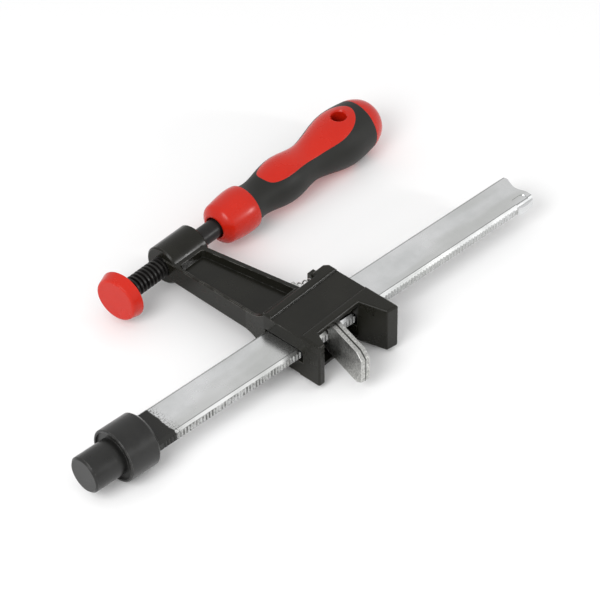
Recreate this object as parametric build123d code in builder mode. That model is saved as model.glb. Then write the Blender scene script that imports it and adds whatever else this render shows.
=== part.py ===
from build123d import *
import os
from math import cos, pi, radians, sin, sqrt, tan

os.makedirs("parts", exist_ok=True)

# Frame: +X runs along the rail from the pin to the free end, +Y from the rail to the screw,
# +Z out of the rail's broad face. The origin is on the pin's axis at the collar's seat. Sizes in mm.

# Rail
rail_end = 223.3
rail_width = 18.3
rail_thickness = 5.5
rail_bevel = 1.27
rail_end_outline = ((1.24, 2.6), (1.7, 0.6), (0.2, -4.4))
rail_end_skew = 0.8
rail_corner = 3.0
rail_seat_depth = 9.0
rail_fit = 0.05
tooth_pitch = 1.65
tooth_depth = 0.35
tooth_gap = 1.1
teeth_start = 17.5
teeth_end = 212.5
stop_length = 7.2
stop_width = 4.8
stop_corner = 2.0
stop_inset = 2.2
stop_press = 0.3
stop_bulge_outline = ((0.8, 0.9), (2.6, 1.3), (5.6, 1.1))
stop_bulge_height = 3.8

# Table pin and collar
pin_radius = 7.9
pin_length = 14.8
pin_chamfer = 0.8
collar_radius = 11.55
collar_length = 15.1
collar_rim_chamfer = 1.3
collar_edge = 0.4
recess_radius = 10.4
recess_depth = 0.8

# Sliding arm: s runs along the screw, t from the rail to the screw; it rocks on the rail at rest
arm_tilt = 4.5
housing_start = 88.5
housing_end = 127.7
housing_half_height = 10.8
housing_near_edge = -20.2
housing_far_edge = 3.2
pocket_start = 95.0
pocket_end = 118.7
pocket_half_height = 8.5
pocket_back = 2.6
back_wall = 2.0
back_wall_end = 108.8
back_wall_slant = 0.5
rib_width = 4.0
rib_rise = 1.1
crest_radius = 1.0
jaw_corner = 0.8
left_jaw_tip = -26.6
left_jaw_thickness = 3.2
right_jaw_tip = -33.9
right_jaw_thickness = 5.7
right_wall_back = 5.0
back_corner = 1.8
window_play = 0.35
left_window_near = -17.9
left_window_far = 2.5
right_window_near = -19.6
right_window_far = 0.1
beam_start = 89.7
beam_root_end = 113.2
beam_lean = 0.153
beam_root_half = 5.4
beam_tip_half = 4.6
web_half = 1.9
beam_edge = 0.4
near_flange = 1.1
far_flange = 2.3
far_flange_foot = 3.3
web_start = 5.6
web_end = 52.4
web_corner = 1.5
web_draft = 0.5
web_foot_inset = 1.0
gusset_run = 11.0
gusset_foot = 4.9
screw_offset = 61.3
boss_radius = 8.6
boss_start = 90.2
boss_end = 109.5
boss_edge = 0.7

# Clutch plates, which hang from the heel at the end of their tongues
heel_s = 112.7
heel_t = 13.8
clutch_lean = 15.5
plate_thickness = 2.0
plate_gap = 0.2
plate_half_width = 8.0
plate_length = 56.5
plate_shoulder = 9.2
plate_tip_taper = 3.7
plate_tip_half = 5.7
plate_corner = 0.9
tongue_half_width = 3.0
plate_bite_play = 0.06
plate_slot_play = 0.4
notch_play = 0.4
notch_end = 121.0
heel_play = 0.1

# Clutch spring
spring_wire = 0.6
spring_radius = 2.1
spring_drop = 2.0
spring_length = 7.3
spring_turns = 3.5
spring_end_turns = 0.75
spring_end_pitch = 0.8
spring_seat_play = 0.02
lug_half_width = 2.6
lug_top = 1.4
lug_foot = 6.5
lug_corner = 1.0

# Screw
ball_s = 66.6
ball_radius = 2.5
neck_radius = 1.6
neck_end = 70.4
thread_nose_radius = 2.4
thread_end = 109.0
thread_runout = 0.6
thread_radius = 4.5
thread_root_radius = 3.35
thread_pitch = 2.0
thread_crest_width = 0.7
thread_foot_width = 1.24
thread_sink = 0.2
thread_margin = 0.75
thread_play = 0.06
shank_radius = 4.1
tang_start = 127.0
tang_radius = 3.0
tang_end = 190.0
tang_fit = 0.05

# Pad, cap and snap ring, along the pad's own axis from the centre of the ball
pad_tilt = 5.5
cap_front = -3.9
cap_wall = 0.7
cap_rear = 1.3
cap_front_radius = 9.75
cap_rear_radius = 10.8
cap_edge = 0.9
cap_fit = 0.05
cap_lip_start = 0.5
pad_disc_radius = 9.0
pad_hub_radius = 8.0
pad_hub_edge = 0.6
pad_rear = 3.2
ball_play = 0.08
groove_start = 1.2
groove_end = 2.75
groove_radius = 3.1
pad_mouth_radius = 2.25
ring_start = 1.85
ring_thickness = 0.45
ring_inner_radius = 1.8
ring_outer_radius = 2.7
ring_gap = 0.8

# Handle: each outline runs from its own start, as (distance along the screw, radius or half width)
ferrule_start = 121.6
ferrule_mouth_radius = 4.9
ferrule_mouth_depth = 5.0
ferrule_tip_radius = 5.7
ferrule_outline = ((1.6, 8.0), (2.5, 8.8), (4.2, 9.3), (9.0, 9.95), (14.4, 10.3))
ferrule_end_radius = 10.0
grip_start = 139.3
grip_start_radius = 9.4
grip_neck_outline = ((6.2, 8.05), (17.7, 9.9), (25.4, 10.3), (37.7, 8.8))
grip_belly_outline = ((42.4, 9.5), (48.7, 11.1), (57.7, 12.85), (65.7, 12.5))
grip_end = 210.0
grip_end_radius = 11.8
grip_wall = 1.8
butt_outline = ((1.5, 11.5), (4.3, 10.4), (7.1, 8.5), (9.2, 5.8))
butt_end = 220.5
inlay_start = 150.2
inlay_neck_outline = ((1.6, 4.3), (4.8, 6.0), (12.5, 7.1), (23.4, 6.1))
inlay_belly_outline = ((34.4, 7.4), (43.0, 8.85), (48.4, 8.1), (52.4, 6.0), (54.8, 3.2))
inlay_end = 206.0
hang_hole_s = 198.5
hang_hole_radius = 3.4
hang_hole_chamfer = 0.9

arm_plane = Plane.XY.rotated((0, 0, arm_tilt))


def arm_point(s, t, z=0.0):
    return arm_plane.from_local_coords(Vector(s, t, z))


def across_beam(t):
    return Plane(arm_point(0, t), x_dir=arm_plane.x_dir, z_dir=arm_plane.y_dir)


def across_screw(s):
    return Plane(arm_point(s, screw_offset), x_dir=arm_plane.y_dir, z_dir=arm_plane.x_dir)


screw_plane = Plane(arm_point(0, screw_offset), x_dir=arm_plane.x_dir, z_dir=arm_plane.z_dir)
screw_axis = Axis(screw_plane.origin, screw_plane.x_dir)
clutch_plane = Plane(arm_point(heel_s, heel_t), z_dir=(0, 0, 1)).rotated((0, 0, arm_tilt - clutch_lean))
pad_plane = Plane(arm_point(ball_s, screw_offset)).rotated((0, 0, arm_tilt + pad_tilt))
pad_axis = Axis(pad_plane.origin, pad_plane.x_dir)


def clutch_to_arm(x, y):
    local = arm_plane.to_local_coords(clutch_plane.from_local_coords(Vector(x, y, 0)))
    return (local.X, local.Y)


def rail_section(play):
    half_width = rail_width / 2 + play
    half_height = rail_thickness / 2 + play
    with BuildSketch(Plane.YZ.offset(collar_length - rail_seat_depth)) as section:
        Rectangle(2 * half_width, 2 * half_height)
        chamfer(section.vertices(), length=rail_bevel)
    return section.sketch


# Rail: bevelled flat bar with teeth on its near edge
teeth = int((teeth_end - teeth_start) / tooth_pitch)
stop_start = rail_end - stop_inset - stop_length
with BuildPart() as rail:
    extrude(rail_section(0), amount=rail_end - collar_length + rail_seat_depth)
    # Side metal pushed out by the stop's press
    with BuildSketch() as bulge:
        with BuildLine():
            Spline(
                (stop_start, -rail_width / 2),
                *[(stop_start + x, -rail_width / 2 - rise) for x, rise in stop_bulge_outline],
                (rail_end, -rail_width / 2),
            )
            Polyline(
                (rail_end, -rail_width / 2),
                (rail_end, 0),
                (stop_start, 0),
                (stop_start, -rail_width / 2),
            )
        make_face()
    extrude(amount=stop_bulge_height / 2, both=True)
    with BuildSketch() as notches:
        with Locations(((teeth_start + teeth_end) / 2, -rail_width / 2)):
            with GridLocations(tooth_pitch, 1, teeth, 1):
                Polygon(
                    (-tooth_gap / 2, 0), (0, tooth_depth), (tooth_gap / 2, 0), (0, -tooth_depth),
                    align=None,
                )
    extrude(amount=rail_thickness, both=True, mode=Mode.SUBTRACT)
    # Pressed pad of the end stop, on both faces
    for side in (1, -1):
        with BuildSketch(Plane.XY.offset(side * rail_thickness / 2)):
            with Locations((stop_start + stop_length / 2, -rail_width / 2 + stop_width / 2)):
                RectangleRounded(stop_length, stop_width, stop_corner)
        extrude(amount=-side * stop_press, mode=Mode.SUBTRACT)
    # Sheared free end with its shallow hollow and rounded far corner
    with BuildSketch():
        with BuildLine():
            TangentArc(
                (rail_end - rail_corner, rail_width / 2),
                (rail_end, rail_width / 2 - rail_corner),
                tangent=(1, 0),
            )
            Spline(
                (rail_end, rail_width / 2 - rail_corner),
                *[(rail_end - depth, y) for depth, y in rail_end_outline],
                (rail_end - rail_end_skew, -rail_width / 2),
            )
            Polyline(
                (rail_end - rail_end_skew, -rail_width / 2),
                (rail_end, -rail_width),
                (rail_end + rail_corner, -rail_width),
                (rail_end + rail_corner, rail_width),
                (rail_end - rail_corner, rail_width / 2),
            )
        make_face()
    extrude(amount=rail_thickness, both=True, mode=Mode.SUBTRACT)
rail.part.label = "rail"
export_step(rail.part, "parts/rail.step")

# Table pin: one turned piece, a pin and a collar that seats on the table
with BuildPart() as table_pin:
    with BuildSketch():
        with BuildLine():
            Polyline(
                (-pin_length, 0),
                (-pin_length, pin_radius - pin_chamfer),
                (-pin_length + pin_chamfer, pin_radius),
                (recess_depth, pin_radius),
                (recess_depth, recess_radius),
                (0, recess_radius),
                (0, collar_radius - collar_edge),
                (collar_edge, collar_radius),
                (collar_length - collar_rim_chamfer, collar_radius),
                (collar_length, collar_radius - collar_rim_chamfer),
                (collar_length, 0),
                close=True,
            )
        make_face()
    revolve(axis=Axis.X)
    extrude(rail_section(rail_fit), amount=rail_seat_depth, mode=Mode.SUBTRACT)
table_pin.part.label = "table_pin"
export_step(table_pin.part, "parts/table_pin.step")


def beam_end(t):
    return beam_root_end - beam_lean * (t - heel_t)


def web_outline(near, far, inset):
    start = web_start + inset
    finish = web_end - inset
    with BuildSketch(Plane.XY) as outline:
        Polygon(
            (beam_start + near, start),
            (beam_end(start) - far, start),
            (beam_end(finish) - far, finish),
            (beam_start + near, finish),
            align=None,
        )
        fillet(outline.vertices(), radius=web_corner)
    return outline.sketch


# I-section beam between the housing and the screw boss
with BuildPart() as beam:
    for t, half_height in ((pocket_back, beam_root_half), (screw_offset, beam_tip_half)):
        with BuildSketch(across_beam(t)):
            with Locations(((beam_start + beam_end(t)) / 2, 0)):
                Rectangle(beam_end(t) - beam_start, 2 * half_height)
    loft(ruled=True)
    chamfer(beam.edges().filter_by(lambda edge: edge.length > screw_offset / 2), length=beam_edge)
    for side in (1, -1):
        with BuildSketch(arm_plane.offset(side * web_half)):
            add(web_outline(near_flange + web_draft, far_flange_foot, web_foot_inset))
        with BuildSketch(arm_plane.offset(side * beam_root_half)):
            add(web_outline(near_flange, far_flange, 0))
        loft(ruled=True, mode=Mode.SUBTRACT)

# Gusset, where the near flange spreads to the housing's corners
gusset_end = housing_far_edge + gusset_run
with BuildPart() as gusset:
    with BuildSketch(Plane(arm_point(housing_start, 0), x_dir=arm_plane.y_dir, z_dir=arm_plane.x_dir)):
        with BuildLine():
            Polyline(
                (housing_far_edge, housing_half_height - rib_rise),
                (housing_far_edge - rib_width, 0),
                (gusset_end, 0),
                (gusset_end, gusset_foot),
            )
            TangentArc(
                (gusset_end, gusset_foot),
                (housing_far_edge, housing_half_height - rib_rise),
                tangent=(-1, 0),
            )
        make_face()
        mirror(about=Plane.XZ)
    extrude(amount=beam_start - housing_start + near_flange)
    with BuildSketch(arm_plane):
        Polygon(
            (housing_start, housing_far_edge - rib_width),
            (housing_start, housing_far_edge),
            (beam_start, gusset_end),
            (beam_start + near_flange, gusset_end),
            (beam_start + near_flange, housing_far_edge - rib_width),
            align=None,
        )
    extrude(amount=housing_half_height, both=True, mode=Mode.INTERSECT)

# Sliding arm: housing round the rail with two jaws, beam, threaded boss and spring lug
with BuildPart() as sliding_arm:
    with BuildSketch(arm_plane) as housing_outline:
        Polygon(
            (housing_start, housing_far_edge),
            (housing_start, left_jaw_tip),
            (housing_start + left_jaw_thickness, left_jaw_tip),
            (pocket_start, housing_near_edge),
            (pocket_end, housing_near_edge),
            (housing_end - right_jaw_thickness, right_jaw_tip + rib_rise),
            (housing_end, right_jaw_tip),
            (housing_end, right_wall_back - back_corner),
            (housing_end - back_corner, right_wall_back),
            (pocket_end, right_wall_back),
            (pocket_end, housing_far_edge),
            align=None,
        )
        rows = housing_outline.vertices().group_by(Axis.Y)
        fillet(rows[0] + rows[1] + rows[2], radius=jaw_corner)
    extrude(amount=housing_half_height, both=True)
    # Shallow field between two ribs on each broad side
    for side in (1, -1):
        with BuildSketch(arm_plane.offset(side * housing_half_height)):
            with Locations(((housing_start + pocket_end) / 2, (housing_near_edge + housing_far_edge) / 2)):
                Rectangle(
                    2 * (housing_end - housing_start),
                    housing_far_edge - housing_near_edge - 2 * rib_width,
                )
        extrude(amount=-side * rib_rise, mode=Mode.SUBTRACT)
    levels = sliding_arm.faces().filter_by(Plane.XY).group_by(Axis.Z)
    for crests in (levels[0], levels[-1]):
        fillet(crests.edges(), radius=crest_radius)
    with BuildSketch(arm_plane):
        Polygon(
            (beam_start, pocket_back),
            (back_wall_end, pocket_back),
            (back_wall_end, pocket_back + back_wall),
            (beam_start, pocket_back + back_wall),
            align=None,
        )
    extrude(amount=pocket_half_height + rib_rise, both=True)
    add(beam.part)
    add(gusset.part)
    with BuildSketch(screw_plane):
        Polygon(
            (boss_start, 0),
            (boss_start, boss_radius - boss_edge),
            (boss_start + boss_edge, boss_radius),
            (boss_end - boss_edge, boss_radius),
            (boss_end, boss_radius - boss_edge),
            (boss_end, 0),
            align=None,
        )
    revolve(axis=screw_axis)
    # Pocket for the clutch plates, open to the near side
    with BuildSketch(arm_plane):
        Polygon(
            (pocket_start, right_jaw_tip),
            (pocket_end, right_jaw_tip),
            (pocket_end, right_wall_back + notch_play / 2),
            (back_wall_end + back_wall_slant, right_wall_back + notch_play / 2),
            (back_wall_end, pocket_back),
            (pocket_start, pocket_back),
            align=None,
        )
    extrude(amount=pocket_half_height, both=True, mode=Mode.SUBTRACT)
    # Notch at the beam's root, where the tongues pass and the heel bears
    with BuildSketch(arm_plane):
        Polygon(
            clutch_to_arm(-heel_play, notch_play),
            clutch_to_arm(-heel_play, -plate_shoulder),
            (notch_end, pocket_back),
            (notch_end, heel_t + notch_play),
            align=None,
        )
    extrude(amount=tongue_half_width + notch_play, both=True, mode=Mode.SUBTRACT)
    # Windows for the rail
    with BuildSketch(arm_plane):
        with Locations((pocket_start, (left_window_near + left_window_far) / 2)):
            Rectangle(3 * (pocket_start - housing_start), left_window_far - left_window_near)
        with Locations((housing_end, (right_window_near + right_window_far) / 2)):
            Rectangle(3 * (housing_end - pocket_end), right_window_far - right_window_near)
    extrude(amount=rail_thickness / 2 + window_play, both=True, mode=Mode.SUBTRACT)
    # Lug behind the spring, its face square to the spring
    with BuildSketch(arm_plane):
        Polygon(
            clutch_to_arm(2 * plate_thickness + plate_gap + spring_length, -lug_foot),
            clutch_to_arm(2 * plate_thickness + plate_gap + spring_length, lug_top),
            (housing_end, clutch_to_arm(2 * plate_thickness + plate_gap + spring_length, lug_top)[1]),
            (housing_end, right_wall_back - lug_corner),
            align=None,
        )
    extrude(amount=lug_half_width, both=True)
    with BuildSketch(across_screw(housing_start)):
        Circle(thread_radius + thread_play)
    extrude(amount=boss_end - housing_start, mode=Mode.SUBTRACT)
sliding_arm.part.label = "sliding_arm"
export_step(sliding_arm.part, "parts/sliding_arm.step")

# Clutch plates: alike, the rear one set further along so that both bite the rail
lean = radians(clutch_lean - arm_tilt)
heel_y = clutch_plane.origin.Y
slot_near = (heel_y - rail_width / 2 - plate_bite_play - plate_thickness * sin(lean)) / cos(lean)
slot_far = (heel_y + rail_width / 2 + plate_bite_play) / cos(lean)


def clutch_plate(number):
    step = number * (plate_thickness + plate_gap)
    origin = clutch_plane.from_local_coords(Vector(step, step * tan(lean), 0))
    with BuildPart() as plate:
        with BuildSketch(Plane(origin, x_dir=clutch_plane.y_dir, z_dir=clutch_plane.x_dir)) as outline:
            Polygon(
                (0, tongue_half_width),
                (-plate_shoulder, tongue_half_width),
                (-plate_shoulder, plate_half_width),
                (-plate_length + plate_tip_taper, plate_half_width),
                (-plate_length, plate_tip_half),
                (-plate_length, -plate_tip_half),
                (-plate_length + plate_tip_taper, -plate_half_width),
                (-plate_shoulder, -plate_half_width),
                (-plate_shoulder, -tongue_half_width),
                (0, -tongue_half_width),
                align=None,
            )
            fillet(outline.vertices(), radius=plate_corner)
            with Locations((-(slot_near + slot_far) / 2, 0)):
                Rectangle(
                    slot_far - slot_near, rail_thickness + 2 * plate_slot_play, mode=Mode.SUBTRACT
                )
        extrude(amount=plate_thickness)
    return plate.part


clutch_plate_front = clutch_plate(0)
clutch_plate_front.label = "clutch_plate_front"
export_step(clutch_plate_front, "parts/clutch_plate_front.step")
clutch_plate_rear = clutch_plate(1)
clutch_plate_rear.label = "clutch_plate_rear"
export_step(clutch_plate_rear, "parts/clutch_plate_rear.step")

# Clutch spring, between the rear tongue and the lug
spring_plane = Plane(
    clutch_plane.from_local_coords(Vector(2 * plate_thickness + plate_gap, -spring_drop, 0)),
    x_dir=clutch_plane.y_dir,
    z_dir=clutch_plane.x_dir,
)
spring_height = spring_length - spring_wire - 2 * spring_seat_play
spring_pitch = (spring_height - 2 * spring_end_turns * spring_end_pitch) / (
    spring_turns - 2 * spring_end_turns
)


def spring_rise(turn):
    ends = min(turn, spring_end_turns) + max(turn - spring_turns + spring_end_turns, 0)
    return ends * spring_end_pitch + (turn - ends) * spring_pitch


def spring_point(turn):
    angle = 2 * pi * turn
    height = spring_wire / 2 + spring_seat_play + spring_rise(turn)
    return spring_plane.from_local_coords(
        Vector(spring_radius * cos(angle), spring_radius * sin(angle), height)
    )


def spring_tangent(turn):
    step = 0.01
    slope = (spring_rise(min(turn + step, spring_turns)) - spring_rise(max(turn - step, 0))) / (
        min(turn + step, spring_turns) - max(turn - step, 0)
    )
    angle = 2 * pi * turn
    local = Vector(-2 * pi * spring_radius * sin(angle), 2 * pi * spring_radius * cos(angle), slope)
    ahead = spring_plane.from_local_coords(local) - spring_plane.origin
    return ahead.normalized()


def biarc(start, start_tangent, finish, finish_tangent):
    chord = finish - start
    both = start_tangent + finish_tangent
    spread = 2 * (1 - start_tangent.dot(finish_tangent))
    reach = (sqrt(chord.dot(both) ** 2 + spread * chord.dot(chord)) - chord.dot(both)) / spread
    start_reach = start + start_tangent * reach
    finish_reach = finish - finish_tangent * reach
    middle = (start_reach + finish_reach) / 2
    TangentArc(start, middle, tangent=start_tangent)
    TangentArc(middle, finish, tangent=(finish_reach - start_reach).normalized())


with BuildPart() as clutch_spring:
    with BuildLine() as coil:
        for quarter in range(int(4 * spring_turns)):
            start = quarter / 4
            finish = (quarter + 1) / 4
            biarc(spring_point(start), spring_tangent(start), spring_point(finish), spring_tangent(finish))
    with BuildSketch(Plane(coil.line @ 0, z_dir=coil.line % 0)):
        Circle(spring_wire / 2)
    sweep(path=coil.line)
clutch_spring.part.label = "clutch_spring"
export_step(clutch_spring.part, "parts/clutch_spring.step")

samples_per_turn = 120
samples = [spring_point(i / samples_per_turn) for i in range(int(spring_turns * samples_per_turn) + 1)]
least_gap = min(
    (point - other).length
    for i, point in enumerate(samples)
    for other in samples[i + samples_per_turn // 2:]
) - spring_wire
print(f"clutch spring: least gap to itself {least_gap:.2f} mm")

# Screw: ball, neck, thread, plain shank and the tang inside the handle
nose_end = neck_end + thread_root_radius - thread_nose_radius
with BuildPart() as spindle:
    with BuildSketch(screw_plane):
        with BuildLine():
            ThreePointArc(
                (ball_s - ball_radius, 0),
                (ball_s, ball_radius),
                (ball_s + sqrt(ball_radius**2 - neck_radius**2), neck_radius),
            )
            Polyline(
                (ball_s + sqrt(ball_radius**2 - neck_radius**2), neck_radius),
                (neck_end, neck_radius),
                (neck_end, thread_nose_radius),
                (nose_end, thread_root_radius),
                (thread_end, thread_root_radius),
                (thread_end + thread_runout, shank_radius),
                (tang_start, shank_radius),
                (tang_start, tang_radius),
                (tang_end, tang_radius),
                (tang_end, 0),
                (ball_s - ball_radius, 0),
            )
        make_face()
    revolve(axis=screw_axis)
    with BuildLine() as thread_path:
        Helix(
            thread_pitch,
            thread_end - nose_end - 2 * thread_margin,
            thread_root_radius,
            center=arm_point(nose_end + thread_margin, screw_offset),
            direction=screw_plane.x_dir,
        )
    thread_line = thread_path.line
    with BuildSketch(Plane(thread_line @ 0, x_dir=screw_plane.y_dir, z_dir=thread_line % 0)):
        Polygon(
            (-thread_sink, -thread_foot_width / 2),
            (0, -thread_foot_width / 2),
            (thread_radius - thread_root_radius, -thread_crest_width / 2),
            (thread_radius - thread_root_radius, thread_crest_width / 2),
            (0, thread_foot_width / 2),
            (-thread_sink, thread_foot_width / 2),
            align=None,
        )
    sweep(path=thread_line, is_frenet=True)
spindle.part.label = "spindle"
export_step(spindle.part, "parts/spindle.step")

# Snap ring behind the ball, a split ring round the neck
with BuildPart() as pad_snap_ring:
    with BuildSketch(across_screw(ball_s + ring_start)):
        Circle(ring_outer_radius)
        Circle(ring_inner_radius, mode=Mode.SUBTRACT)
        with Locations((0, -(ring_inner_radius + ring_outer_radius) / 2)):
            Rectangle(ring_gap, 2 * (ring_outer_radius - ring_inner_radius), mode=Mode.SUBTRACT)
    extrude(amount=ring_thickness)
pad_snap_ring.part.label = "pad_snap_ring"
export_step(pad_snap_ring.part, "parts/pad_snap_ring.step")

# Swivel pad: a steel disc with a socket for the ball and a groove for the ring
socket_radius = ball_radius + ball_play
with BuildPart() as pressure_pad:
    with BuildSketch(pad_plane):
        with BuildLine():
            ThreePointArc(
                (-socket_radius, 0),
                (-socket_radius * cos(pi / 4), socket_radius * sin(pi / 4)),
                (0, socket_radius),
            )
            Polyline(
                (0, socket_radius),
                (groove_start, socket_radius),
                (groove_start, groove_radius),
                (groove_end, groove_radius),
                (groove_end, pad_mouth_radius),
                (pad_rear, pad_mouth_radius),
                (pad_rear, pad_hub_radius - 2 * pad_hub_edge),
                (pad_rear - pad_hub_edge, pad_hub_radius - pad_hub_edge),
                (cap_rear + pad_hub_edge, pad_hub_radius),
                (cap_lip_start + pad_hub_edge, pad_hub_radius),
                (cap_lip_start, pad_disc_radius),
                (cap_front + cap_wall, pad_disc_radius),
                (cap_front + cap_wall, 0),
                (-socket_radius, 0),
            )
        make_face()
    revolve(axis=pad_axis)
pressure_pad.part.label = "pressure_pad"
export_step(pressure_pad.part, "parts/pressure_pad.step")

# Plastic cap snapped over the pad's disc
with BuildPart() as pad_cap:
    with BuildSketch(pad_plane):
        with BuildLine():
            Polyline(
                (cap_front, 0),
                (cap_front, cap_front_radius - cap_edge),
                (cap_front + cap_edge / 3, cap_front_radius - cap_edge / 3),
                (cap_front + cap_edge, cap_front_radius),
                (cap_rear - cap_edge / 3, cap_rear_radius),
                (cap_rear, cap_rear_radius - cap_edge / 3),
                (cap_rear, pad_hub_radius + cap_fit),
                (cap_lip_start + pad_hub_edge, pad_hub_radius + cap_fit),
                (cap_lip_start, pad_disc_radius + cap_fit),
                (cap_front + cap_wall, pad_disc_radius + cap_fit),
                (cap_front + cap_wall, 0),
                close=True,
            )
        make_face()
    revolve(axis=pad_axis)
pad_cap.part.label = "pad_cap"
export_step(pad_cap.part, "parts/pad_cap.step")


# Handle: hard core with a ferrule, two inlays and a butt, under a soft grip
grip_outline = grip_neck_outline + grip_belly_outline
inlay_outline = inlay_neck_outline + inlay_belly_outline


def grip_profile(wall):
    with BuildSketch(screw_plane) as profile:
        with BuildLine():
            Spline(
                (grip_start, grip_start_radius - wall),
                *[(grip_start + along, radius - wall) for along, radius in grip_outline],
                (grip_end, grip_end_radius - wall),
            )
            Polyline(
                (grip_end, grip_end_radius - wall),
                (grip_end, 0),
                (grip_start, 0),
                (grip_start, grip_start_radius - wall),
            )
        make_face()
    return profile.sketch


def inlay_shape():
    far_side = [(inlay_start + along, half_width) for along, half_width in inlay_outline]
    near_side = [(s, -half_width) for s, half_width in reversed(far_side)]
    with BuildSketch(screw_plane) as shape:
        with BuildLine():
            Spline((inlay_start, 0), *far_side, (inlay_end, 0), *near_side, periodic=True)
        make_face()
    return shape.sketch


with BuildPart() as inlays:
    revolve(grip_profile(0), axis=screw_axis)
    extrude(inlay_shape(), amount=grip_end - grip_start, both=True, mode=Mode.INTERSECT)

with BuildPart() as handle_core:
    revolve(grip_profile(grip_wall), axis=screw_axis)
    add(inlays.part)
    with BuildSketch(screw_plane):
        with BuildLine():
            Line((ferrule_start, 0), (ferrule_start, ferrule_tip_radius))
            Spline(
                (ferrule_start, ferrule_tip_radius),
                *[(ferrule_start + along, radius) for along, radius in ferrule_outline],
                (grip_start, ferrule_end_radius),
            )
            Polyline((grip_start, ferrule_end_radius), (grip_start, 0), (ferrule_start, 0))
        make_face()
    revolve(axis=screw_axis)
    with BuildSketch(screw_plane):
        with BuildLine():
            Line((grip_end, 0), (grip_end, grip_end_radius))
            Spline(
                (grip_end, grip_end_radius),
                *[(grip_end + along, radius) for along, radius in butt_outline],
                (butt_end, 0),
                tangents=((1, -0.1), (0, -1)),
            )
            Line((butt_end, 0), (grip_end, 0))
        make_face()
    revolve(axis=screw_axis)
    with BuildSketch(across_screw(ferrule_start)):
        Circle(ferrule_mouth_radius)
    extrude(amount=ferrule_mouth_depth, mode=Mode.SUBTRACT)
    with BuildSketch(across_screw(ferrule_start)):
        Circle(shank_radius + tang_fit)
    extrude(amount=tang_start - ferrule_start, mode=Mode.SUBTRACT)
    with BuildSketch(across_screw(tang_start)):
        Circle(tang_radius + tang_fit)
    extrude(amount=tang_end - tang_start, mode=Mode.SUBTRACT)
    # Hole to hang the clamp by, with a chamfer at each mouth
    mouth_height = max(radius for along, radius in grip_outline)
    with BuildSketch(screw_plane):
        with Locations((hang_hole_s, 0)):
            Circle(hang_hole_radius)
    extrude(amount=2 * mouth_height, both=True, mode=Mode.SUBTRACT)
    for side in (1, -1):
        for rise in (-hang_hole_chamfer, hang_hole_chamfer):
            with BuildSketch(screw_plane.offset(side * (mouth_height + rise))):
                with Locations((hang_hole_s, 0)):
                    Circle(hang_hole_radius + hang_hole_chamfer + rise)
        loft(mode=Mode.SUBTRACT)
handle_core.part.label = "handle_core"
export_step(handle_core.part, "parts/handle_core.step")

with BuildPart() as handle_grip:
    revolve(grip_profile(0), axis=screw_axis)
    revolve(grip_profile(grip_wall), axis=screw_axis, mode=Mode.SUBTRACT)
    extrude(inlay_shape(), amount=grip_end - grip_start, both=True, mode=Mode.SUBTRACT)
handle_grip.part.label = "handle_grip"
export_step(handle_grip.part, "parts/handle_grip.step")
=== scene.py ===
# %% [markdown]
# # A welding table clamp
#
# This lesson dresses a measured model of a light F-clamp for a welding table. The real tool is a zinc-plated
# bar with a black pin at one end, a black casting that slides on the bar, and a screw with a red and black
# handle. The shapes come from the frame, so the lesson is about finishes: how a painted casting, plated
# steel, hard plastic and soft rubber each catch the light, and how small wear tells the eye what a surface
# is made of.

# %% Load the frame
import math

import bpy
from mathutils import Matrix, Vector


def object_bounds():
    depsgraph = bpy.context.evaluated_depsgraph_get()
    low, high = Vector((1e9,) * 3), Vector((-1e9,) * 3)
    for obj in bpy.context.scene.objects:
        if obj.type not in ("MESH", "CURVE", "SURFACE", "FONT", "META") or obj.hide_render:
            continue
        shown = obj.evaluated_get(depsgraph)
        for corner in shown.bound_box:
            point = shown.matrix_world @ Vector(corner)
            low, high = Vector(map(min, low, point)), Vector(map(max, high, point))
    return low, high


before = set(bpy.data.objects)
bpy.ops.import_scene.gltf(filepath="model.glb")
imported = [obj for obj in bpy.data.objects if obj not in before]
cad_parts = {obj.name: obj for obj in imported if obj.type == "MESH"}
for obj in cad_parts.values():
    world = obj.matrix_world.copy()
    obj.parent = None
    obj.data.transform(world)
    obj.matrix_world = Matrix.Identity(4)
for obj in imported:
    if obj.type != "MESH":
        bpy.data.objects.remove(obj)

MM = 0.001
cad_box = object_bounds()
print("pieces in the frame:", sorted(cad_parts))

# %% [markdown]
# ## The camera
#
# The picture of the real clamp was taken with a long lens, looking down from the pin's side. A long lens
# keeps parallel edges nearly parallel, so the distance matters as much as the angle. The camera's own axes
# are worked out from its azimuth, elevation and roll, and set as the columns of one matrix.

# %% Place the camera
camera_azimuth = math.radians(-42.746)
camera_elevation = math.radians(42.932)
camera_roll = math.radians(-0.80)
camera_distance = 1.2492
camera_target = Vector((0.11177, 0.01436, 0.0))
camera_lens = 186.1
camera_sensor = 36.0
camera_reach = 20.0

level = math.cos(camera_elevation)
backward = Vector((
    math.sin(camera_azimuth) * level,
    -math.cos(camera_azimuth) * level,
    math.sin(camera_elevation),
))
rightward = Vector((math.cos(camera_azimuth), math.sin(camera_azimuth), 0.0))
upward = backward.cross(rightward)
rolled_right = rightward * math.cos(camera_roll) + upward * math.sin(camera_roll)
rolled_up = upward * math.cos(camera_roll) - rightward * math.sin(camera_roll)

camera_data = bpy.data.cameras.new("studio_camera")
camera_data.lens = camera_lens
camera_data.sensor_width = camera_sensor
camera_data.clip_end = camera_reach
camera = bpy.data.objects.new("studio_camera", camera_data)
bpy.context.scene.collection.objects.link(camera)
turned = Matrix((rolled_right, rolled_up, backward)).transposed().to_4x4()
camera.matrix_world = Matrix.Translation(camera_target + backward * camera_distance) @ turned
bpy.context.scene.camera = camera
print("camera stands at", [round(value, 3) for value in camera.matrix_world.translation])

# %% [markdown]
# ## The studio
#
# The tool lies on a pale sheet in soft light. Most of the light is a white sky. A large lamp stands on the
# pin's side, so the faces that look that way are a little brighter than the top. A weak broad lamp on the
# near side brightens the bar's bevel, and a small low one draws the fine highlight along the handle.

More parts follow.
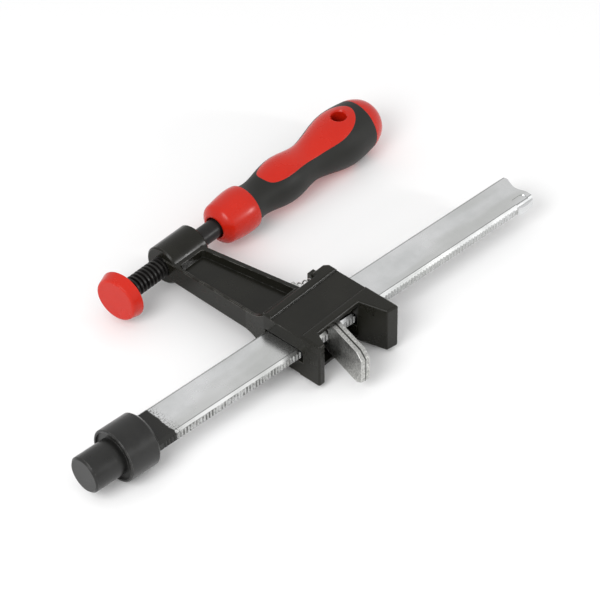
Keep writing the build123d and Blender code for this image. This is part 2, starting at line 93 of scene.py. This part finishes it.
# %% Light the studio
sky_strength = 0.85
floor_gap = 0.1 * MM
floor_width = 6.0
floor_shade = 0.88

scene = bpy.context.scene
scene.view_settings.view_transform = "Standard"
sky = bpy.data.worlds.new("studio_sky")
scene.world = sky
sky.use_nodes = True
sky_light = sky.node_tree.nodes["Background"]
sky_light.inputs["Color"].default_value = (1.0, 1.0, 1.0, 1.0)
sky_light.inputs["Strength"].default_value = sky_strength

lowest = cad_box[0]
bpy.ops.mesh.primitive_plane_add(
    size=floor_width, location=(camera_target.x, camera_target.y, lowest.z - floor_gap)
)
floor = bpy.context.object
floor.name = "studio_floor"
floor_finish = bpy.data.materials.new("pale_floor")
floor_finish.use_nodes = True
floor_shader = floor_finish.node_tree.nodes["Principled BSDF"]
floor_shader.inputs["Base Color"].default_value = (floor_shade, floor_shade, floor_shade, 1.0)
floor_shader.inputs["Roughness"].default_value = 0.9
floor_shader.inputs["Specular IOR Level"].default_value = 0.2
floor.data.materials.append(floor_finish)


# %% Lamps, each placed by its direction from the clamp
def lamp(name, azimuth, elevation, distance, size, watts):
    data = bpy.data.lights.new(name, "AREA")
    data.shape = "DISK"
    data.size = size
    data.energy = watts
    made = bpy.data.objects.new(name, data)
    scene.collection.objects.link(made)
    azimuth = math.radians(azimuth)
    elevation = math.radians(elevation)
    towards = Vector((
        math.cos(azimuth) * math.cos(elevation),
        math.sin(azimuth) * math.cos(elevation),
        math.sin(elevation),
    ))
    made.location = camera_target + towards * distance
    made.rotation_mode = "QUATERNION"
    made.rotation_quaternion = towards.to_track_quat("Z", "Y")
    return made


key_lamp = lamp("key_lamp", azimuth=-165.0, elevation=42.0, distance=0.9, size=0.5, watts=4.5)
bevel_lamp = lamp("bevel_lamp", azimuth=-54.0, elevation=33.0, distance=0.95, size=0.3, watts=0.06)
line_lamp = lamp("line_lamp", azimuth=-52.0, elevation=17.0, distance=0.9, size=0.12, watts=1.7)
print("lamps:", key_lamp.name, bevel_lamp.name, line_lamp.name)

# %% [markdown]
# ## Shared effects
#
# Several finishes need the same few things: fine grain, broad smudges and worn edges, and the bar has drawn
# lines. Each effect is a node group with named inputs, built once. A group only puts out values, and the
# shader that uses them stays in its material.


# %% Helpers for node groups; most of a noise's values lie between the two limits
NOISE_LOW = 0.3
NOISE_HIGH = 0.7


def new_group(name, inputs, outputs):
    group = bpy.data.node_groups.new(name, "ShaderNodeTree")
    for socket, kind, value in inputs:
        made = group.interface.new_socket(name=socket, in_out="INPUT", socket_type=kind)
        if value is not None:
            made.default_value = value
    for socket, kind in outputs:
        group.interface.new_socket(name=socket, in_out="OUTPUT", socket_type=kind)
    return group, group.nodes.new("NodeGroupInput"), group.nodes.new("NodeGroupOutput")


def math_node(tree, operation, first, second=None):
    node = tree.nodes.new("ShaderNodeMath")
    node.operation = operation
    for socket, value in zip(node.inputs, (first, second)):
        if isinstance(value, (int, float)):
            socket.default_value = value
        elif value is not None:
            tree.links.new(value, socket)
    return node.outputs[0]


def noise_node(tree, vector, scale, detail=3.0, roughness=0.5):
    node = tree.nodes.new("ShaderNodeTexNoise")
    node.inputs["Detail"].default_value = detail
    node.inputs["Roughness"].default_value = roughness
    tree.links.new(vector, node.inputs["Vector"])
    if isinstance(scale, (int, float)):
        node.inputs["Scale"].default_value = scale
    else:
        tree.links.new(scale, node.inputs["Scale"])
    return node.outputs["Fac"]


def ramp_node(tree, value, stops):
    node = tree.nodes.new("ShaderNodeValToRGB")
    for element, (position, colour) in zip(node.color_ramp.elements, stops):
        element.position = position
        element.color = (*colour, 1.0)
    tree.links.new(value, node.inputs["Fac"])
    return node.outputs["Color"]


def range_node(tree, value, low, high, to_low=0.0, to_high=1.0):
    node = tree.nodes.new("ShaderNodeMapRange")
    node.interpolation_type = "SMOOTHSTEP"
    for socket, number in (("From Min", low), ("From Max", high), ("To Min", to_low), ("To Max", to_high)):
        if isinstance(number, (int, float)):
            node.inputs[socket].default_value = number
        else:
            tree.links.new(number, node.inputs[socket])
    tree.links.new(value, node.inputs["Value"])
    return node.outputs["Result"]


def product_node(tree, *values):
    result = values[0]
    for value in values[1:]:
        result = math_node(tree, "MULTIPLY", result, value)
    return result


def band_node(tree, value, rise, fall):
    return product_node(tree, range_node(tree, value, *rise), range_node(tree, value, *fall))


# %% Grain: the fine relief of castings, blasted metal and moulded plastic
grain, grain_in, grain_out = new_group(
    "surface_grain",
    [("Place", "NodeSocketVector", None), ("Size", "NodeSocketFloat", 0.0005)],
    [("Height", "NodeSocketFloat"), ("Speckle", "NodeSocketFloat")],
)
grain_scale = math_node(grain, "DIVIDE", 1.0, grain_in.outputs["Size"])
coarse = noise_node(grain, grain_in.outputs["Place"], grain_scale, detail=4.0, roughness=0.6)
cells = grain.nodes.new("ShaderNodeTexVoronoi")
grain.links.new(grain_in.outputs["Place"], cells.inputs["Vector"])
grain.links.new(grain_scale, cells.inputs["Scale"])
grain.links.new(math_node(grain, "ADD", coarse, cells.outputs["Distance"]), grain_out.inputs["Height"])
grain.links.new(coarse, grain_out.inputs["Speckle"])
print("group made:", grain.name)

# %% Smudges: broad patches of dull and bright from handling and plating
smudge, smudge_in, smudge_out = new_group(
    "smudges",
    [
        ("Place", "NodeSocketVector", None),
        ("Size", "NodeSocketFloat", 0.02),
        ("Low", "NodeSocketFloat", 0.3),
        ("High", "NodeSocketFloat", 0.5),
    ],
    [("Value", "NodeSocketFloat"), ("Mask", "NodeSocketFloat")],
)
smudge_scale = math_node(smudge, "DIVIDE", 1.0, smudge_in.outputs["Size"])
patches = noise_node(smudge, smudge_in.outputs["Place"], smudge_scale, detail=5.0, roughness=0.62)
smudge_limits = (smudge_in.outputs["Low"], smudge_in.outputs["High"])
smudge.links.new(
    range_node(smudge, patches, NOISE_LOW, NOISE_HIGH, *smudge_limits), smudge_out.inputs["Value"]
)
smudge.links.new(patches, smudge_out.inputs["Mask"])
print("group made:", smudge.name)

# %% Brushing: fine lines drawn along the bar
brushing, brushing_in, brushing_out = new_group(
    "brushing",
    [("Place", "NodeSocketVector", None), ("Spacing", "NodeSocketFloat", 0.0003)],
    [("Height", "NodeSocketFloat")],
)
line_stretch = (0.02, 1.0, 1.0)
stretch = brushing.nodes.new("ShaderNodeMapping")
stretch.inputs["Scale"].default_value = line_stretch
brushing.links.new(brushing_in.outputs["Place"], stretch.inputs["Vector"])
line_scale = math_node(brushing, "DIVIDE", 1.0, brushing_in.outputs["Spacing"])
lines = noise_node(brushing, stretch.outputs["Vector"], line_scale)
brushing.links.new(lines, brushing_out.inputs["Height"])
print("group made:", brushing.name)

# %% [markdown]
# A real edge is never a perfect line: paint draws thin over it, and handling rubs it bright. The edge mask
# lightens outer edges partly as wear and partly as a painted highlight. A Bevel node gives the normal that a
# rounded edge would have. Where that normal turns away from the true one there is an edge, and noise breaks
# the mask up so that the lightening comes and goes. Inner corners aren't lightened: an Ambient Occlusion node
# finds them, takes them out of the mask and puts them out as hollows, which are used as painted shade.

# %% Edge wear and painted edge highlight, with painted shade in the hollows
edges, edges_in, edges_out = new_group(
    "edge_wear",
    [
        ("Place", "NodeSocketVector", None),
        ("Size", "NodeSocketFloat", 0.004),
        ("Least", "NodeSocketFloat", 0.4),
        ("Most", "NodeSocketFloat", 0.6),
    ],
    [("Mask", "NodeSocketFloat"), ("Hollow", "NodeSocketFloat"), ("Normal", "NodeSocketVector")],
)
edge_radius = 0.35 * MM
hollow_reach = 1.0 * MM
edge_turn = (0.995, 0.93)
hollow_to_open = (0.6, 0.85)

rounded = edges.nodes.new("ShaderNodeBevel")
rounded.samples = 6
rounded.inputs["Radius"].default_value = edge_radius
true_normal = edges.nodes.new("ShaderNodeNewGeometry").outputs["Normal"]
facing = edges.nodes.new("ShaderNodeVectorMath")
facing.operation = "DOT_PRODUCT"
edges.links.new(rounded.outputs["Normal"], facing.inputs[0])
edges.links.new(true_normal, facing.inputs[1])
openness = edges.nodes.new("ShaderNodeAmbientOcclusion")
openness.samples = 4
openness.only_local = True
openness.inputs["Distance"].default_value = hollow_reach
turned_away = range_node(edges, facing.outputs["Value"], *edge_turn)
outer = range_node(edges, openness.outputs["AO"], *hollow_to_open)
wear_scale = math_node(edges, "DIVIDE", 1.0, edges_in.outputs["Size"])
wear_noise = noise_node(edges, edges_in.outputs["Place"], wear_scale, detail=5.0, roughness=0.65)
broken = range_node(edges, wear_noise, edges_in.outputs["Least"], edges_in.outputs["Most"])
edges.links.new(product_node(edges, turned_away, outer, broken), edges_out.inputs["Mask"])
# Painted shade: the hollows come out as a mask for darkening inner corners
edges.links.new(math_node(edges, "SUBTRACT", 1.0, outer), edges_out.inputs["Hollow"])
edges.links.new(rounded.outputs["Normal"], edges_out.inputs["Normal"])
print("group made:", edges.name)


# %% Helpers for materials
def new_finish(name):
    made = bpy.data.materials.new(name)
    made.use_nodes = True
    tree = made.node_tree
    shader = tree.nodes["Principled BSDF"]
    place = tree.nodes.new("ShaderNodeTexCoord").outputs["Object"]
    return made, tree, shader, place


def use_group(tree, group, place, **values):
    node = tree.nodes.new("ShaderNodeGroup")
    node.node_tree = group
    tree.links.new(place, node.inputs["Place"])
    for name, value in values.items():
        node.inputs[name].default_value = value
    return node


def relief(tree, shader, height, depth, strength, normal=None):
    bump = tree.nodes.new("ShaderNodeBump")
    bump.inputs["Strength"].default_value = strength
    bump.inputs["Distance"].default_value = depth
    tree.links.new(height, bump.inputs["Height"])
    if normal is not None:
        tree.links.new(normal, bump.inputs["Normal"])
    tree.links.new(bump.outputs["Normal"], shader.inputs["Normal"])


def blend_colours(tree, mask, first, second):
    node = tree.nodes.new("ShaderNodeMix")
    node.data_type = "RGBA"
    for socket, value in ((node.inputs["A"], first), (node.inputs["B"], second)):
        if isinstance(value, tuple):
            socket.default_value = (*value, 1.0)
        else:
            tree.links.new(value, socket)
    tree.links.new(mask, node.inputs["Factor"])
    return node.outputs["Result"]


def tint(tree, colour, mask, share, tone):
    return blend_colours(tree, math_node(tree, "MULTIPLY", mask, share), colour, tone)


def patchy_colour(tree, smudges, dark, light):
    return ramp_node(tree, smudges.outputs["Mask"], [(NOISE_LOW, dark), (NOISE_HIGH, light)])


def split_place(tree, place):
    node = tree.nodes.new("ShaderNodeSeparateXYZ")
    tree.links.new(place, node.inputs["Vector"])
    return node.outputs["X"], node.outputs["Y"], node.outputs["Z"]


def dress(material, *nodes):
    for name in nodes:
        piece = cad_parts[name]
        piece.data.materials.clear()
        piece.data.materials.append(material)
    print("dressed with", material.name + ":", ", ".join(nodes))


# %% [markdown]
# ## Zinc-plated bar
#
# The bar is drawn steel with a thin bright zinc layer. It reflects softly, with long faint lines from drawing
# and patches where the plating is duller. A thin dark line runs beside each bevel, painted shade and grime
# sit between the teeth, and the narrow side carries painted shade. The black of the pin runs some way up the
# bar and ends in a torn line with specks beyond it.

# %% Bar finish: zinc with patches, drawn lines and a dark line beside each bevel
bar_finish, tree, shader, place = new_finish("zinc_plated_bar")
bar_smudges = use_group(tree, smudge, place, Size=0.03, Low=0.17, High=0.30)
bar_lines = use_group(tree, brushing, place, Spacing=0.00045)
along, across, above = split_place(tree, place)
from_middle = math_node(tree, "ABSOLUTE", across)
from_centre_plane = math_node(tree, "ABSOLUTE", above)

dull_zinc = (0.63, 0.64, 0.64)
bright_zinc = (0.76, 0.765, 0.77)
streak_tone = (0.46, 0.465, 0.44)
streak_share = 0.4
streak_scale = 75.0
streak_limits = (0.46, 0.66)
streak_stretch = (0.22, 1.0, 1.0)
zinc = ramp_node(tree, bar_smudges.outputs["Mask"], [(0.36, dull_zinc), (0.62, bright_zinc)])
drawn_out = tree.nodes.new("ShaderNodeMapping")
drawn_out.inputs["Scale"].default_value = streak_stretch
tree.links.new(place, drawn_out.inputs["Vector"])
streak_noise = noise_node(tree, drawn_out.outputs["Vector"], streak_scale, detail=2.0)
dull_streaks = range_node(tree, streak_noise, *streak_limits)
zinc = tint(tree, zinc, dull_streaks, streak_share, streak_tone)

line_rise = (7.35 * MM, 7.6 * MM)
line_fall = (7.95 * MM, 7.86 * MM)
line_tone = (0.24, 0.245, 0.24)
line_share = 0.75
zinc = tint(tree, zinc, band_node(tree, from_middle, line_rise, line_fall), line_share, line_tone)
print("bar: zinc with dull streaks and edge lines")

# %% Bar finish: painted shade and grime between the teeth, which fade towards the free end, and painted shade on the dull narrow side
# Painted shade with grime: the grooves between the teeth are darkened in the colour, less towards the free
# end
tooth_rise = (8.72 * MM, 8.82 * MM)
tooth_fall = (9.14 * MM, 9.04 * MM)
tooth_height = (1.9 * MM, 1.6 * MM)
groove_shade_fade = (190.0 * MM, 40.0 * MM, 0.2, 0.9)
groove_shade_breaks = (0.38, 0.58, 0.35, 1.0)
groove_shade_tone = (0.10, 0.10, 0.095)
groove_shade_and_grime = product_node(
    tree,
    band_node(tree, from_middle, tooth_rise, tooth_fall),
    range_node(tree, from_centre_plane, *tooth_height),
    range_node(tree, along, *groove_shade_fade),
    range_node(tree, noise_node(tree, place, scale=260.0, roughness=0.6), *groove_shade_breaks),
)
zinc = blend_colours(tree, groove_shade_and_grime, zinc, groove_shade_tone)

side_rise = (9.0 * MM, 9.12 * MM)
side_fall = (9.4 * MM, 9.2 * MM)
side_height = (2.2 * MM, 1.7 * MM)
# Painted shade: the narrow side is darkened in streaks; the added roughness further down makes it dull
side_shade_tone = (0.34, 0.345, 0.33)
side_streaks = (0.35, 0.62, 0.25, 0.75)
side_roughness = 0.15
side_band = product_node(
    tree,
    band_node(tree, from_middle, side_rise, side_fall),
    range_node(tree, from_centre_plane, *side_height),
)
side_noise = noise_node(tree, place, scale=900.0, detail=4.0, roughness=0.6)
side_shade_mask = product_node(tree, side_band, range_node(tree, side_noise, *side_streaks))
zinc = blend_colours(tree, side_shade_mask, zinc, side_shade_tone)
print("bar: grime between the teeth and a dull side")

# %% Bar finish: the torn edge of the black
paint_end = 24.6 * MM
paint_wander = 3.2 * MM
paint_fade = (-0.25 * MM, 0.3 * MM)
paint_tone = (0.0085, 0.0085, 0.007)
speck_reach = 4.6 * MM
speck_size = (0.47, 0.60)
speck_share = 0.8
speck_tone = (0.13, 0.13, 0.12)
wander_noise = noise_node(tree, place, scale=130.0, detail=4.0, roughness=0.55)
wander = math_node(tree, "MULTIPLY", math_node(tree, "SUBTRACT", wander_noise, 0.5), paint_wander)
wandered = math_node(tree, "ADD", along, wander)
beyond_paint = math_node(tree, "SUBTRACT", wandered, paint_end)
bare = range_node(tree, beyond_paint, *paint_fade)
speck_zone = range_node(tree, beyond_paint, speck_reach, 0.0)
speck_noise = noise_node(tree, place, scale=1500.0, detail=5.0, roughness=0.7)
specks = range_node(tree, speck_noise, *speck_size)
zinc = tint(tree, zinc, product_node(tree, speck_zone, specks), speck_share, speck_tone)
tree.links.new(blend_colours(tree, bare, paint_tone, zinc), shader.inputs["Base Color"])
tree.links.new(bare, shader.inputs["Metallic"])
side_dullness = math_node(tree, "MULTIPLY", side_band, side_roughness)
tree.links.new(
    math_node(tree, "ADD", bar_smudges.outputs["Value"], side_dullness), shader.inputs["Roughness"]
)
shader.inputs["Specular IOR Level"].default_value = 0.35
relief(tree, shader, bar_lines.outputs["Height"], depth=0.015 * MM, strength=0.3)
dress(bar_finish, "rail")

# %% [markdown]
# ## Clutch plates
#
# The plates are blanked from sheet and tumbled before plating, so they are grainier than the bar: a fine,
# even speckle with dull patches. Their edges are brighter than their faces, partly rubbed and partly painted
# highlight, and a dark band of painted shade marks the narrow gap where the two plates face each other.

# %% Plate finish
plate_finish, tree, shader, place = new_finish("tumbled_zinc")
plate_grain = use_group(tree, grain, place, Size=0.0008)
plate_smudges = use_group(tree, smudge, place, Size=0.006, Low=0.36, High=0.55)
plate_edges = use_group(tree, edges, place, Size=0.002, Least=0.2, Most=0.5)
plate_dark = (0.30, 0.30, 0.285)
plate_light = (0.64, 0.64, 0.62)
# Painted highlight and wear: the plates' edges are brighter
plate_wear_and_highlight = (0.86, 0.86, 0.84)
plate_colour = ramp_node(tree, plate_grain.outputs["Speckle"], [(0.34, plate_dark), (0.64, plate_light)])
plate_colour = tint(tree, plate_colour, plate_edges.outputs["Mask"], share=0.7, tone=plate_wear_and_highlight)

plate_lean = math.radians(11.0)
seam_distance = 107.01 * MM
# Painted shade: a dark band along the gap where the two plates face each other
plate_gap_shade_width = (0.5 * MM, 0.25 * MM, 0.0, 0.92)
plate_gap_shade_tone = (0.05, 0.05, 0.045)
along, across = split_place(tree, place)[:2]
from_origin = math_node(
    tree, "SUBTRACT",
    math_node(tree, "MULTIPLY", along, math.cos(plate_lean)),
    math_node(tree, "MULTIPLY", across, math.sin(plate_lean)),
)
from_seam = math_node(tree, "ABSOLUTE", math_node(tree, "SUBTRACT", from_origin, seam_distance))
plate_colour = blend_colours(tree, range_node(tree, from_seam, *plate_gap_shade_width), plate_colour, plate_gap_shade_tone)
tree.links.new(plate_colour, shader.inputs["Base Color"])
shader.inputs["Metallic"].default_value = 1.0
tree.links.new(plate_smudges.outputs["Value"], shader.inputs["Roughness"])
relief(
    tree, shader, plate_grain.outputs["Height"],
    depth=0.04 * MM, strength=0.5, normal=plate_edges.outputs["Normal"],
)
dress(plate_finish, "clutch_plate_front", "clutch_plate_rear")

# %% [markdown]
# ## Spring and snap ring
#
# Both are drawn wire, smoother and a little brighter than the plates.

# %% Wire finish
wire_finish, tree, shader, place = new_finish("plated_wire")
wire_smudges = use_group(tree, smudge, place, Size=0.003, Low=0.22, High=0.4)
wire_colour = patchy_colour(tree, wire_smudges, dark=(0.42, 0.42, 0.41), light=(0.62, 0.62, 0.60))
tree.links.new(wire_colour, shader.inputs["Base Color"])
shader.inputs["Metallic"].default_value = 1.0
tree.links.new(wire_smudges.outputs["Value"], shader.inputs["Roughness"])
dress(wire_finish, "clutch_spring", "pad_snap_ring")

# %% [markdown]
# ## Black casting
#
# The arm is cast iron under thin black paint with a faint warm tint. Its skin has a low, uneven grain, its
# sheen varies in broad patches, and its edges are rounded. A grey line runs along its edges, partly rubbed
# paint and partly painted highlight. Its inner corners are darkened with painted shade.

# %% Casting finish
casting_finish, tree, shader, place = new_finish("black_casting")
casting_grain = use_group(tree, grain, place, Size=0.0014)
casting_smudges = use_group(tree, smudge, place, Size=0.014, Low=0.20, High=0.32)
casting_edges = use_group(tree, edges, place, Size=0.006, Least=0.45, Most=0.61)
casting_colour = patchy_colour(
    tree, casting_smudges, dark=(0.0070, 0.0068, 0.0048), light=(0.0110, 0.0106, 0.0076)
)
# Painted highlight and wear: a grey line along the outer edges
casting_wear_and_highlight = (0.22, 0.215, 0.20)
# Painted shade: the inner corners are darkened in the colour
casting_hollow_shade = (0.0030, 0.0030, 0.0022)
casting_colour = tint(tree, casting_colour, casting_edges.outputs["Mask"], share=0.6, tone=casting_wear_and_highlight)
casting_colour = tint(tree, casting_colour, casting_edges.outputs["Hollow"], share=0.7, tone=casting_hollow_shade)
tree.links.new(casting_colour, shader.inputs["Base Color"])
tree.links.new(casting_smudges.outputs["Value"], shader.inputs["Roughness"])
shader.inputs["Specular IOR Level"].default_value = 0.24
relief(
    tree, shader, casting_grain.outputs["Height"],
    depth=0.03 * MM, strength=0.35, normal=casting_edges.outputs["Normal"],
)
dress(casting_finish, "sliding_arm")

# %% [markdown]
# ## Blackened steel
#
# The pin and the pad are turned steel, blackened in a bath. The finish is thinner than paint, with fine
# grain, and the turned rims are lighter grey, partly rubbed and partly painted highlight.

# %% Blackened finish
blackened_finish, tree, shader, place = new_finish("blackened_steel")
blackened_grain = use_group(tree, grain, place, Size=0.0007)
blackened_smudges = use_group(tree, smudge, place, Size=0.01, Low=0.26, High=0.40)
blackened_edges = use_group(tree, edges, place, Size=0.004, Least=0.38, Most=0.55)
blackened_colour = patchy_colour(
    tree, blackened_smudges, dark=(0.0085, 0.0085, 0.0080), light=(0.0145, 0.0145, 0.0135)
)
# Painted highlight and wear: the turned rims are lighter grey
steel_wear_and_highlight = (0.16, 0.158, 0.15)
blackened_colour = tint(tree, blackened_colour, blackened_edges.outputs["Mask"], share=0.6, tone=steel_wear_and_highlight)
tree.links.new(blackened_colour, shader.inputs["Base Color"])
tree.links.new(blackened_smudges.outputs["Value"], shader.inputs["Roughness"])
shader.inputs["Specular IOR Level"].default_value = 0.38
relief(
    tree, shader, blackened_grain.outputs["Height"],
    depth=0.02 * MM, strength=0.35, normal=blackened_edges.outputs["Normal"],
)
dress(blackened_finish, "table_pin", "pressure_pad")

# %% [markdown]
# ## Oiled screw
#
# The screw is blackened too, but its thread holds oil. Oil makes it darker than the pin, with a trace of
# brown, and its crests are lighter grey, partly worn where they have run through the nut and partly painted
# highlight.

# %% Screw finish
screw_finish, tree, shader, place = new_finish("oiled_screw")
screw_smudges = use_group(tree, smudge, place, Size=0.004, Low=0.34, High=0.48)
screw_edges = use_group(tree, edges, place, Size=0.003, Least=0.42, Most=0.62)
screw_colour = patchy_colour(
    tree, screw_smudges, dark=(0.0048, 0.0043, 0.0040), light=(0.0105, 0.0098, 0.0092)
)
# Painted highlight and wear: the thread crests are lighter grey
crest_wear_and_highlight = (0.10, 0.095, 0.09)
screw_colour = tint(tree, screw_colour, screw_edges.outputs["Mask"], share=0.45, tone=crest_wear_and_highlight)
tree.links.new(screw_colour, shader.inputs["Base Color"])
tree.links.new(screw_smudges.outputs["Value"], shader.inputs["Roughness"])
shader.inputs["Specular IOR Level"].default_value = 0.3
relief(tree, shader, screw_smudges.outputs["Mask"], depth=0.02 * MM, strength=0.3)
dress(screw_finish, "spindle")

# %% [markdown]
# ## Red plastic
#
# The handle's core and the pad's cap are moulded in one orange-red plastic with a satin skin. A very fine
# grain breaks the highlight, and the colour is nearly even.

# %% Red finish
red_finish, tree, shader, place = new_finish("red_plastic")
red_grain = use_group(tree, grain, place, Size=0.0006)
red_smudges = use_group(tree, smudge, place, Size=0.02, Low=0.20, High=0.30)
red_edges = use_group(tree, edges, place, Size=0.005, Least=0.35, Most=0.6)
red_colour = patchy_colour(tree, red_smudges, dark=(0.470, 0.0110, 0.0030), light=(0.525, 0.0160, 0.0050))
# Painted highlight and wear: lighter red along the edges
red_wear_and_highlight = (0.66, 0.09, 0.06)
red_colour = tint(tree, red_colour, red_edges.outputs["Mask"], share=0.3, tone=red_wear_and_highlight)
tree.links.new(red_colour, shader.inputs["Base Color"])
tree.links.new(red_smudges.outputs["Value"], shader.inputs["Roughness"])
shader.inputs["Specular IOR Level"].default_value = 0.3
relief(
    tree, shader, red_grain.outputs["Height"],
    depth=0.010 * MM, strength=0.3, normal=red_edges.outputs["Normal"],
)
dress(red_finish, "pad_cap", "handle_core")

# %% [markdown]
# ## Soft grip
#
# The black part of the handle is a rubbery overmould. It has almost no sharp highlight, a soft sheen at its
# edges and a fine moulded texture.

# %% Grip finish
grip_finish, tree, shader, place = new_finish("soft_grip")
grip_grain = use_group(tree, grain, place, Size=0.0006)
grip_smudges = use_group(tree, smudge, place, Size=0.015, Low=0.5, High=0.64)
grip_colour = patchy_colour(
    tree, grip_smudges, dark=(0.0080, 0.0080, 0.0065), light=(0.0130, 0.0130, 0.0108)
)
tree.links.new(grip_colour, shader.inputs["Base Color"])
tree.links.new(grip_smudges.outputs["Value"], shader.inputs["Roughness"])
shader.inputs["Specular IOR Level"].default_value = 0.3
shader.inputs["Sheen Weight"].default_value = 0.03
relief(tree, shader, grip_grain.outputs["Height"], depth=0.015 * MM, strength=0.45)
dress(grip_finish, "handle_grip")
